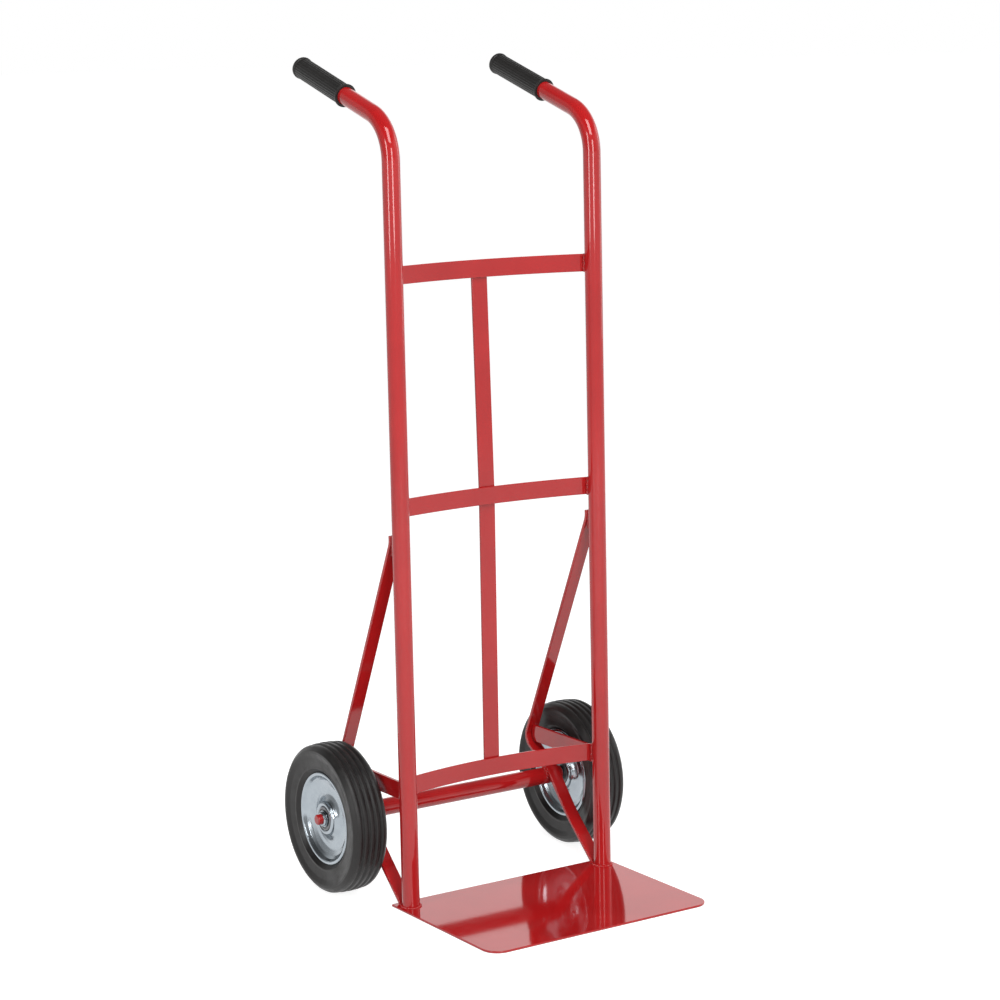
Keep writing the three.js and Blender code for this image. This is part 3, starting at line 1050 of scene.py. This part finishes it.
# %% Lay the ribs round each grip
rib_tree = new_tree("ribs_round_sleeve", [
    ("NodeSocketInt", "Ribs"),
    ("NodeSocketFloat", "Circle"),
    ("NodeSocketFloat", "Rib Radius"),
    ("NodeSocketFloat", "Rib Length"),
    ("NodeSocketMaterial", "Finish"),
])
entry = rib_tree.nodes.new("NodeGroupInput").outputs
ring_points = tree_node(
    rib_tree, "GeometryNodeMeshCircle", {"fill_type": "NONE"},
    Vertices=entry["Ribs"], Radius=entry["Circle"],
)
rod = tree_node(
    rib_tree, "GeometryNodeMeshCylinder", {"fill_type": "NGON"},
    Vertices=10, Radius=entry["Rib Radius"], Depth=entry["Rib Length"],
)
scattered = tree_node(
    rib_tree, "GeometryNodeInstanceOnPoints", Points=ring_points.outputs[0], Instance=rod.outputs[0],
)
close_tree(rib_tree, scattered, entry["Finish"])

RIB_COUNT = 26
RIB_RADIUS = 1.35 * MM
RIB_CIRCLE = GRIP_RADIUS - 0.85 * MM
RIB_START = 3.9 * MM
RIB_END = 121.8 * MM
for side, sign in SIDES:
    ribs = line_object("grip_ribs_" + side, [])
    run_tree(
        ribs, rib_tree, Ribs=RIB_COUNT, Circle=RIB_CIRCLE, Finish=vinyl.material,
        **{"Rib Radius": RIB_RADIUS, "Rib Length": RIB_END - RIB_START},
    )
    lay_down = Matrix.Translation((0, (RIB_START + RIB_END) / 2, 0)) @ Matrix.Rotation(math.pi / 2, 4, "X")
    ribs.data.transform(handle_frame(sign) @ lay_down)
    close_up(ribs)
    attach(ribs, "frame")
    print(ribs.name, "has", len(ribs.data.polygons), "faces")

# %% [markdown]
# ## Weld beads
# Every joint of the frame is welded, and the paint only softens the beads. A bead is a row of overlapping
# puddles. Each seam is a short line in the corner between two pieces, and a node tree resamples the line at
# the puddles' spacing and sets a flattened ball on each point, turned along the line.

# %% Build the weld tree
weld_tree = new_tree("weld_bead", [
    ("NodeSocketFloat", "Pitch"),
    ("NodeSocketFloat", "Puddle"),
    ("NodeSocketMaterial", "Finish"),
])
entry = weld_tree.nodes.new("NodeGroupInput").outputs
curve = tree_node(weld_tree, "GeometryNodeMeshToCurve", Mesh=entry["Geometry"])
spaced = tree_node(
    weld_tree, "GeometryNodeCurveToPoints", {"mode": "LENGTH"},
    Curve=curve.outputs[0], Length=entry["Pitch"],
)
ball = tree_node(weld_tree, "GeometryNodeMeshUVSphere", Segments=10, Rings=7, Radius=entry["Puddle"])
flattened = tree_node(weld_tree, "GeometryNodeTransform", Geometry=ball.outputs[0], Scale=(1.0, 1.0, 0.8))
uneven = tree_node(weld_tree, "FunctionNodeRandomValue", {"data_type": "FLOAT"}, Min=0.86, Max=1.12, Seed=7)
beaded = tree_node(
    weld_tree, "GeometryNodeInstanceOnPoints", Points=spaced.outputs["Points"],
    Instance=flattened.outputs[0], Rotation=spaced.outputs["Rotation"], Scale=uneven.outputs[1],
)
close_tree(weld_tree, beaded, entry["Finish"])
print("weld tree:", len(weld_tree.nodes), "nodes")

# %% Run the beads
# Where a crossbar's two beads lie, as how far in from the upright's axis and how far behind it.
CROSSBAR_BEADS = ((8.7 * MM, 10.3 * MM), (3.7 * MM, 13.2 * MM))
CORNER_GAP = 0.4 * MM
SEAM_STEPS = 24
STRUT_SEAM_LOW = 154 * MM
STRUT_SEAM_HIGH = 176 * MM


def upright_seam(x, y, low, high):
    return [Vector((x, y, low)), Vector((x, y, high))]


def round_seam(centre, radius, start, end, axis):
    """An arc about the z or x axis, from one angle to another."""
    found = []
    for angle in evenly(math.radians(start), math.radians(end), SEAM_STEPS):
        u, v = radius * math.cos(angle), radius * math.sin(angle)
        found.append(centre + (Vector((u, v, 0)) if axis == "z" else Vector((0, u, v))))
    return found


def crossbar_seams(sign):
    found = []
    for node in CROSSBARS:
        low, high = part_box(node)
        for inwards, behind in CROSSBAR_BEADS:
            x = sign * (POST_X - inwards)
            found.append(upright_seam(x, POST_Y + behind, low.z + MM, high.z - MM))
    return found


def strap_seams(sign):
    found = []
    x = sign * (half_size("centre_strap", 0) + CORNER_GAP)
    for node in CROSSBARS:
        low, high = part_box(node)
        found.append(upright_seam(x, high.y + CORNER_GAP, low.z + 2 * MM, high.z - 2 * MM))
    return found


def brace_seams(sign):
    """Both edges on the upright, the saddle on the axle tube, the strut, and the foot on the toe plate."""
    found = []
    for edge in (-1, 1):
        x = sign * POST_X + edge * 7.2 * MM
        found.append(upright_seam(x, POST_Y + 12.0 * MM, brace_top - 26 * MM, brace_top - 0.5 * MM))
        saddle_x = sign * POST_X + edge * (BRACE_WIDTH / 2 + CORNER_GAP)
        saddle = Vector((saddle_x, AXLE.y, AXLE.z))
        found.append(round_seam(saddle, TUBE_RADIUS + 0.6 * MM, start=92, end=176, axis="x"))
        strut_x = sign * POST_X + edge * 3.0 * MM
        strut_y = POST_Y + TUBE_RADIUS + CORNER_GAP
        found.append(upright_seam(strut_x, strut_y, STRUT_SEAM_LOW, STRUT_SEAM_HIGH))
    foot_y = brace_line[-1].x + BRACE_THICKNESS / 2 + 1.6 * MM
    foot = [Vector((sign * POST_X + edge * 9 * MM, foot_y, PLATE_TOP + CORNER_GAP)) for edge in (-1, 1)]
    return found + [foot]


def post_seam(sign):
    """Round the upright's foot, but for the part that faces the brace."""
    foot = Vector((sign * POST_X, POST_Y, PLATE_TOP + 0.3 * MM))
    return [round_seam(foot, TUBE_RADIUS + 0.9 * MM, start=-215, end=35, axis="z")]


for name, seams, pitch, puddle in (
    ("crossbar_welds", crossbar_seams, 1.9 * MM, 2.3 * MM),
    ("strap_welds", strap_seams, 1.8 * MM, 1.6 * MM),
    ("brace_welds", brace_seams, 1.9 * MM, 1.9 * MM),
    ("foot_welds", post_seam, 2.0 * MM, 2.0 * MM),
):
    welds = line_object(name, seams(-1) + seams(1))
    run_tree(welds, weld_tree, Pitch=pitch, Puddle=puddle, Finish=paint.material)
    close_up(welds)
    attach(welds, "frame")
    print(name, "has", len(welds.data.polygons), "faces")

# %% [markdown]
# ## Studio
# The truck stands on a white floor in a pale room. Glossy paint shows what is around it, so the room matters
# more than the lamps. The floor glows for the camera and for reflections, which keeps it white out to the
# horizon, but its glow doesn't light matt surfaces, so the undersides of the braces stay dark. The room is
# brightest to the right and behind, where the toe plate looks for its reflection, and its ceiling is dark, so
# the tops of the handles stay deep red. Three tall boxes draw the long highlights down the tubes, and a high
# one lights the front of the bends. Two broad ones only fill in light and leave no mark in the paint. The
# camera itself only sees white behind the truck.

# %% Lay the floor
FLOOR_HALF = 400.0
FLOOR_Z = -0.4 * MM
FLOOR_DARK = (0.44, 0.44, 0.44)
FLOOR_PALE = (0.46, 0.46, 0.46)
FLOOR_GLOW = 0.86

pale = Finish("pale_floor", Roughness=1.0, Specular_IOR_Level=0.0, Emission_Strength=FLOOR_GLOW)
speckle = pale.noise(pale.place(), scale=3.0)
pale.feed(
    Base_Color=pale.mix(speckle, FLOOR_DARK, FLOOR_PALE),
    Emission_Color=1 - pale.node("ShaderNodeLightPath", output="Is Diffuse Ray"),
)

floor_mesh = bpy.data.meshes.new("floor")
floor_mesh.from_pydata(
    [(x * FLOOR_HALF, y * FLOOR_HALF, FLOOR_Z) for x, y in ((-1, -1), (1, -1), (1, 1), (-1, 1))],
    [], [(0, 1, 2, 3)],
)
floor = bpy.data.objects.new("floor", floor_mesh)
bpy.context.scene.collection.objects.link(floor)
floor_mesh.materials.append(pale.material)

# %% Light the room
WHITE = (1, 1, 1, 1)
BRIGHT_SIDE = (0.8, 0.4, 0)

world = bpy.data.worlds.new("room")
world.use_nodes = True
bpy.context.scene.world = world
room = world.node_tree
heading = room.nodes.new("ShaderNodeTexCoord")
facing = room.nodes.new("ShaderNodeVectorMath")
facing.operation = "DOT_PRODUCT"
facing.inputs[1].default_value = BRIGHT_SIDE
room.links.new(heading.outputs["Generated"], facing.inputs[0])
climb = room.nodes.new("ShaderNodeSeparateXYZ")
room.links.new(heading.outputs["Generated"], climb.inputs[0])


def room_ramp(source, start, end, at_start, at_end):
    """A soft step of the room's brightness along one direction."""
    ramp = room.nodes.new("ShaderNodeMapRange")
    ramp.interpolation_type = "SMOOTHSTEP"
    ramp.inputs["From Min"].default_value = start
    ramp.inputs["From Max"].default_value = end
    ramp.inputs["To Min"].default_value = at_start
    ramp.inputs["To Max"].default_value = at_end
    room.links.new(source, ramp.inputs["Value"])
    return ramp.outputs["Result"]


side_light = room_ramp(facing.outputs["Value"], start=-0.3, end=0.7, at_start=0.45, at_end=1.3)
ceiling_shade = room_ramp(climb.outputs["Z"], start=0.4, end=0.65, at_start=1.0, at_end=0.2)
glow = room.nodes.new("ShaderNodeMath")
glow.operation = "MULTIPLY"
room.links.new(side_light, glow.inputs[0])
room.links.new(ceiling_shade, glow.inputs[1])
room_light = room.nodes["Background"]
room_light.inputs["Color"].default_value = WHITE
room.links.new(glow.outputs[0], room_light.inputs["Strength"])
seen = room.nodes.new("ShaderNodeBackground")
seen.inputs["Color"].default_value = WHITE
rays = room.nodes.new("ShaderNodeLightPath")
choice = room.nodes.new("ShaderNodeMixShader")
room.links.new(rays.outputs["Is Camera Ray"], choice.inputs[0])
room.links.new(room_light.outputs[0], choice.inputs[1])
room.links.new(seen.outputs[0], choice.inputs[2])
room.links.new(choice.outputs[0], room.nodes["World Output"].inputs[0])
print("room:", len(room.nodes), "nodes")

# %% Place the lamps
LIT_POINT = Vector((0, 0, 0.55))


def soft_box(name, place, width, height, energy, in_reflections=True):
    """An area lamp that faces the middle of the truck."""
    data = bpy.data.lights.new(name, "AREA")
    data.shape = "RECTANGLE"
    data.size = width
    data.size_y = height
    data.energy = energy
    made = bpy.data.objects.new(name, data)
    made.location = place
    made.visible_glossy = in_reflections
    made.rotation_euler = (LIT_POINT - Vector(place)).to_track_quat("-Z", "Y").to_euler()
    bpy.context.scene.collection.objects.link(made)


soft_box("left_box", (-3.44, -1.06, 1.6), width=0.8, height=2.0, energy=44)
soft_box("near_box", (-1.0, -3.87, 1.6), width=0.9, height=2.0, energy=56)
soft_box("high_box", (-0.73, -2.0, 3.3), width=1.5, height=1.7, energy=62)
soft_box("front_box", (1.8, -3.9, 2.0), width=3.0, height=3.0, energy=30, in_reflections=False)
soft_box("top_box", (0.3, -0.5, 4.5), width=3.0, height=3.0, energy=30, in_reflections=False)
soft_box("right_box", (3.8, -0.6, 1.6), width=0.8, height=2.6, energy=14)
bpy.context.scene.view_settings.view_transform = "Standard"
